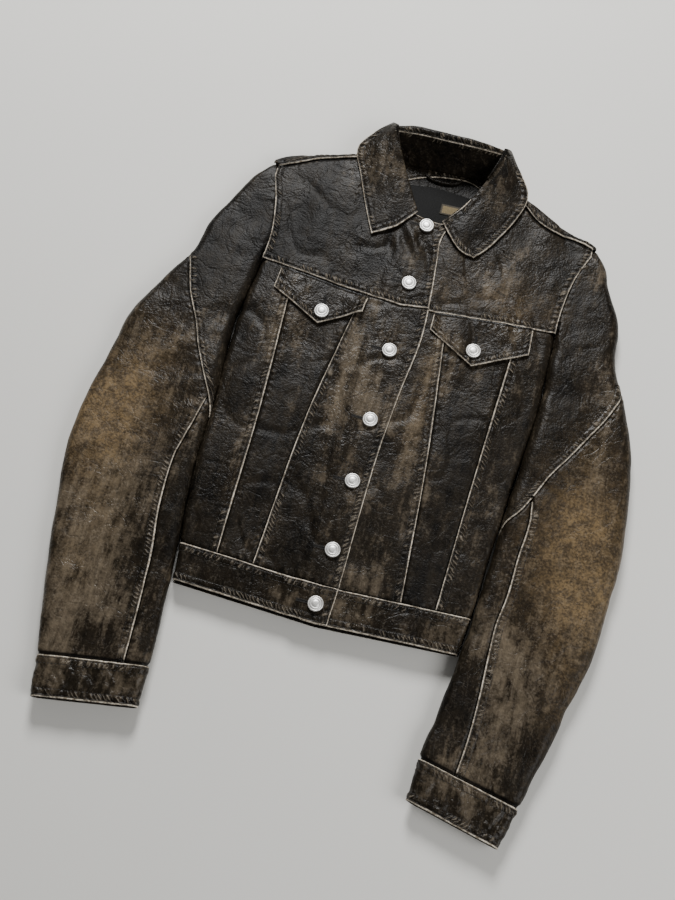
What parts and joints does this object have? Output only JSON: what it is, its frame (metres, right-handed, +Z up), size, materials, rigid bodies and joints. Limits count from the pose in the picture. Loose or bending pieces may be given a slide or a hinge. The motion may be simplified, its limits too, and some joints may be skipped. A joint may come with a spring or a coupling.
{
  "type": "leather jacket",
  "caption": "Waist-length distressed leather trucker jacket lying flat and buttoned, with flapped chest pockets, wide collar, yokes, waistband and cuffs.",
  "frame": {"origin": "on the button line at chest height, on the plane that the back rests on", "axes": "+X to the wearer's left, +Y from the hem to the collar, +Z up out of the chest"},
  "size_m": [0.6132, 0.7976, 0.0474],
  "materials": {
    "body_leather": "distressed dark brown leather, rubbed pale at edges and elbows",
    "trim_leather": "darker waxed leather with a soft shine",
    "lining_cloth": "smooth dark twill",
    "label_cloth": "woven, muted gold",
    "pewter_button": "worn pewter with a raised rim"
  },
  "bodies": {
    "root": {"right_front_yoke": "body_leather", "right_front_centre_panel": "body_leather", "right_front_pocket_panel": "body_leather", "right_front_side_panel": "body_leather", "right_front_waistband": "trim_leather", "right_pocket_bag": "lining_cloth", "right_front_lining": "lining_cloth", "left_front_yoke": "body_leather", "left_front_centre_panel": "body_leather", "left_front_pocket_panel": "body_leather", "left_front_side_panel": "body_leather", "left_front_waistband": "trim_leather", "left_pocket_bag": "lining_cloth", "left_front_lining": "lining_cloth", "back_yoke": "body_leather", "back_centre_panel": "body_leather", "right_back_side_panel": "body_leather", "left_back_side_panel": "body_leather", "back_waistband": "trim_leather", "back_lining": "lining_cloth", "back_collar": "body_leather", "collar_stand": "trim_leather", "neck_facing": "trim_leather", "neck_label": "label_cloth"},
    "right_sleeve": {"right_upper_sleeve": "body_leather", "right_outer_sleeve": "body_leather", "right_inner_sleeve": "body_leather", "right_sleeve_back": "body_leather", "right_sleeve_lining": "lining_cloth", "right_cuff": "trim_leather"},
    "left_sleeve": {"left_upper_sleeve": "body_leather", "left_outer_sleeve": "body_leather", "left_inner_sleeve": "body_leather", "left_sleeve_back": "body_leather", "left_sleeve_lining": "lining_cloth", "left_cuff": "trim_leather"},
    "right_cuff_button_body": {"right_cuff_button": "pewter_button"},
    "left_cuff_button_body": {"left_cuff_button": "pewter_button"},
    "right_flap": {"right_pocket_flap": "body_leather", "right_flap_buttonhole": "body_leather"},
    "right_flap_button_body": {"right_flap_button": "pewter_button"},
    "left_flap": {"left_pocket_flap": "body_leather", "left_flap_buttonhole": "body_leather"},
    "left_flap_button_body": {"left_flap_button": "pewter_button"},
    "right_collar_leaf": {"right_collar_point": "body_leather"},
    "left_collar_leaf": {"left_collar_point": "body_leather"},
    "loop": {"hanger_loop": "trim_leather"},
    "front_button_1_body": {"front_button_1": "pewter_button"},
    "front_button_2_body": {"front_button_2": "pewter_button"},
    "front_button_3_body": {"front_button_3": "pewter_button"},
    "front_button_4_body": {"front_button_4": "pewter_button"},
    "front_button_5_body": {"front_button_5": "pewter_button"},
    "front_button_6_body": {"front_button_6": "pewter_button"},
    "front_button_7_body": {"front_button_7": "pewter_button"}
  },
  "joints": [
    {"name": "right_sleeve_fold", "type": "hinge", "parent": "root", "child": "right_sleeve", "pos_m": [-0.167, 0.23, 0.029], "axis": [0.0324, -0.9995, 0], "range_deg": [-165, 0]},
    {"name": "left_sleeve_fold", "type": "hinge", "parent": "root", "child": "left_sleeve", "pos_m": [0.1755, 0.223, 0.029], "axis": [0.0772, 0.997, 0], "range_deg": [-165, 0]},
    {"name": "right_cuff_button_swivel", "type": "hinge", "parent": "right_sleeve", "child": "right_cuff_button_body", "pos_m": [-0.2258, -0.32285, 0.006], "axis": [0, 0, -1], "continuous": true},
    {"name": "left_cuff_button_swivel", "type": "hinge", "parent": "left_sleeve", "child": "left_cuff_button_body", "pos_m": [0.20261, -0.34488, 0.006], "axis": [0, 0, -1], "continuous": true},
    {"name": "right_pocket_flap_lift", "type": "hinge", "parent": "root", "child": "right_flap", "pos_m": [-0.0915, 0.19175, 0.0225], "axis": [-0.9932, 0.116, 0], "range_deg": [0, 150], "deforming": ["right_flap_buttonhole"]},
    {"name": "right_flap_button_swivel", "type": "hinge", "parent": "root", "child": "right_flap_button_body", "pos_m": [-0.0855, 0.152, 0.018], "axis": [0, 0, 1], "continuous": true},
    {"name": "left_pocket_flap_lift", "type": "hinge", "parent": "root", "child": "left_flap", "pos_m": [0.096, 0.189, 0.0225], "axis": [-0.9975, -0.07, 0], "range_deg": [0, 150], "deforming": ["left_flap_buttonhole"]},
    {"name": "left_flap_button_swivel", "type": "hinge", "parent": "root", "child": "left_flap_button_body", "pos_m": [0.0925, 0.147, 0.018], "axis": [0, 0, 1], "continuous": true},
    {"name": "right_collar_point_lift", "type": "hinge", "parent": "root", "child": "right_collar_leaf", "pos_m": [-0.009, 0.309, 0.0252], "axis": [-0.4402, 0.8803, 0.177], "range_deg": [0, 65]},
    {"name": "left_collar_point_lift", "type": "hinge", "parent": "root", "child": "left_collar_leaf", "pos_m": [0.071, 0.405, 0.0445], "axis": [-0.4548, -0.8738, -0.1721], "range_deg": [0, 65]},
    {"name": "hanger_loop_lift", "type": "hinge", "parent": "root", "child": "loop", "pos_m": [0.007, 0.3747, 0.0047], "axis": [-1, 0, 0], "range_deg": [0, 100]},
    {"name": "front_button_1_swivel", "type": "hinge", "parent": "root", "child": "front_button_1_body", "pos_m": [0.0045, 0.2906, 0.018], "axis": [0, 0, 1], "continuous": true},
    {"name": "front_button_2_swivel", "type": "hinge", "parent": "root", "child": "front_button_2_body", "pos_m": [0.0023, 0.2122, 0.018], "axis": [0, 0, 1], "continuous": true},
    {"name": "front_button_3_swivel", "type": "hinge", "parent": "root", "child": "front_button_3_body", "pos_m": [0.001, 0.1244, 0.018], "axis": [0, 0, 1], "continuous": true},
    {"name": "front_button_4_swivel", "type": "hinge", "parent": "root", "child": "front_button_4_body", "pos_m": [0.0008, 0.0376, 0.018], "axis": [0, 0, 1], "continuous": true},
    {"name": "front_button_5_swivel", "type": "hinge", "parent": "root", "child": "front_button_5_body", "pos_m": [-0.0001, -0.0365, 0.018], "axis": [0, 0, 1], "continuous": true},
    {"name": "front_button_6_swivel", "type": "hinge", "parent": "root", "child": "front_button_6_body", "pos_m": [-0.001, -0.1165, 0.018], "axis": [0, 0, 1], "continuous": true},
    {"name": "front_button_7_swivel", "type": "hinge", "parent": "root", "child": "front_button_7_body", "pos_m": [-0.0033, -0.177, 0.018], "axis": [0, 0, 1], "continuous": true}
  ]
}
